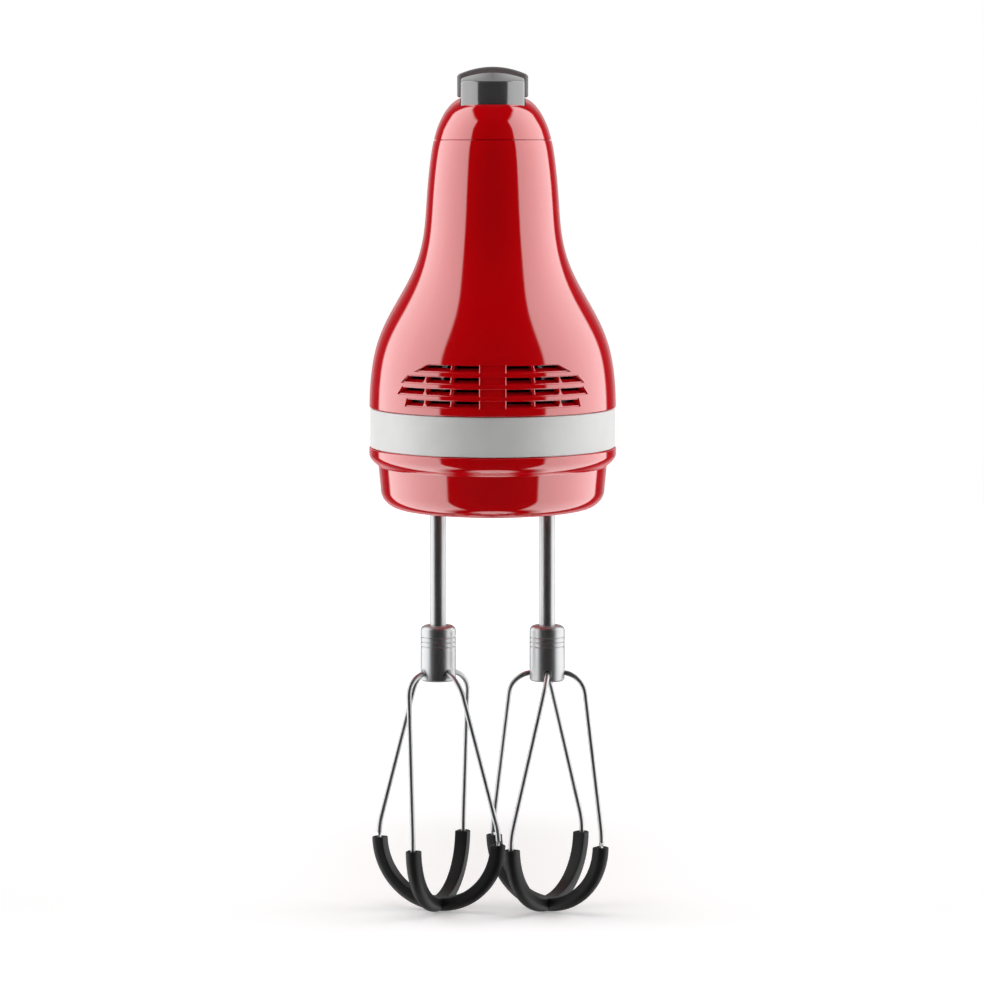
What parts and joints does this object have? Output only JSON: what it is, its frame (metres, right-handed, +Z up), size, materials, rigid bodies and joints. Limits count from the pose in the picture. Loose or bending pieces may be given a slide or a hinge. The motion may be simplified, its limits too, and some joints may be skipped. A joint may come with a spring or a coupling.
{
  "type": "hand mixer",
  "caption": "Hand mixer with a closed-loop handle over a bullet-shaped motor housing, a bare satin band, and a pair of pull-out sleeved wire beaters driven by a worm.",
  "frame": {"origin": "on the ground under the middle of the object's box, at the lowest points of the beaters", "axes": "+Z up along the beaters, front of the mixer faces -Y, +X to the mixer's right as seen from the front"},
  "size_m": [0.091, 0.2, 0.3101],
  "materials": {
    "gloss_shell": "deep red gloss moulding",
    "satin_band": "satin silver, bare",
    "grey_control": "mid grey gloss",
    "soft_grip": "matt soft-touch",
    "black_moulding": "black moulded",
    "chrome_beater": "polished stainless",
    "black_sleeve": "satin black sleeve",
    "nylon": "natural nylon",
    "steel": "plain steel",
    "lamination": "varnished laminations",
    "copper": "enamelled copper",
    "bronze": "sintered bronze",
    "carbon": "graphite block",
    "circuit_board": "green laminate"
  },
  "bodies": {
    "housing": {"upper_housing": "gloss_shell", "lower_housing": "gloss_shell", "trim_band": "satin_band", "handle_cover": "gloss_shell", "grip_pad": "soft_grip", "housing_screw_front_left": "steel", "housing_screw_front_right": "steel", "housing_screw_rear_left": "steel", "housing_screw_rear_right": "steel", "ejector_spring": "steel", "speed_switch": "black_moulding", "speed_board": "circuit_board", "gear_frame": "nylon", "gear_frame_screw_left": "steel", "gear_frame_screw_right": "steel", "front_bearing": "bronze", "field_core": "lamination", "field_coil_upper": "copper", "field_coil_lower": "copper", "rear_bracket": "black_moulding", "rear_bearing": "bronze", "left_brush_holder": "bronze", "left_brush": "carbon", "left_brush_spring": "steel", "right_brush_holder": "bronze", "right_brush": "carbon", "right_brush_spring": "steel", "left_spindle_bush": "bronze", "right_spindle_bush": "bronze"},
    "armature": {"armature_shaft": "steel", "cooling_fan": "black_moulding", "rotor_core": "lamination", "rotor_winding_front": "copper", "rotor_winding_rear": "copper", "commutator": "copper"},
    "left_drive": {"left_spindle": "steel", "left_worm_wheel": "nylon"},
    "right_drive": {"right_spindle": "steel", "right_worm_wheel": "nylon"},
    "left_pin": {"left_ejector_pin": "steel"},
    "right_pin": {"right_ejector_pin": "steel"},
    "left_beater": {"left_beater_shaft": "chrome_beater", "left_beater_collar": "chrome_beater", "left_beater_wire_low": "chrome_beater", "left_beater_wire_high": "chrome_beater", "left_beater_sleeve": "black_sleeve"},
    "right_beater": {"right_beater_shaft": "chrome_beater", "right_beater_collar": "chrome_beater", "right_beater_wire_low": "chrome_beater", "right_beater_wire_high": "chrome_beater", "right_beater_sleeve": "black_sleeve"},
    "ejector": {"eject_button": "grey_control", "ejector_yoke": "nylon"},
    "speed_control": {"speed_slider": "grey_control"},
    "cord_gland": {"cord_swivel": "black_moulding"}
  },
  "joints": [
    {"name": "left_drive_spin", "type": "hinge", "parent": "housing", "child": "left_drive", "pos_m": [-0.01995, -0.062, 0.18], "axis": [0, 0, 1], "continuous": true},
    {"name": "right_drive_spin", "type": "hinge", "parent": "housing", "child": "right_drive", "pos_m": [0.01995, -0.062, 0.18], "axis": [0, 0, 1], "continuous": true},
    {"name": "armature_spin", "type": "hinge", "parent": "housing", "child": "armature", "pos_m": [0, -0.004, 0.18], "axis": [0, 1, 0], "continuous": true},
    {"name": "eject_press", "type": "slide", "parent": "housing", "child": "ejector", "axis": [0, 0, -1], "range_m": [0, 0.007], "stiffness_N_per_m": 1500, "springref_m": -0.002, "deforming": ["ejector_spring"]},
    {"name": "left_pin_press", "type": "slide", "parent": "left_drive", "child": "left_pin", "axis": [0, 0, -1], "range_m": [0, 0.007]},
    {"name": "right_pin_press", "type": "slide", "parent": "right_drive", "child": "right_pin", "axis": [0, 0, -1], "range_m": [0, 0.007]},
    {"name": "left_beater_pull", "type": "slide", "parent": "left_pin", "child": "left_beater", "axis": [0, 0, -1], "range_m": [0, 0.045]},
    {"name": "right_beater_pull", "type": "slide", "parent": "right_pin", "child": "right_beater", "axis": [0, 0, -1], "range_m": [0, 0.045]},
    {"name": "speed_slide", "type": "slide", "parent": "housing", "child": "speed_control", "axis": [0, -1, 0], "range_m": [0, 0.018]},
    {"name": "cord_turn", "type": "hinge", "parent": "housing", "child": "cord_gland", "pos_m": [0, 0.088, 0.24], "axis": [0, 1, 0], "range_deg": [-90, 90]}
  ],
  "couplings": [
    {"joint": "right_drive_spin", "follows": "armature_spin", "ratio": 0.076923},
    {"joint": "left_drive_spin", "follows": "armature_spin", "ratio": -0.076923},
    {"joint": "left_pin_press", "follows": "eject_press", "ratio": 1},
    {"joint": "right_pin_press", "follows": "eject_press", "ratio": 1}
  ]
}
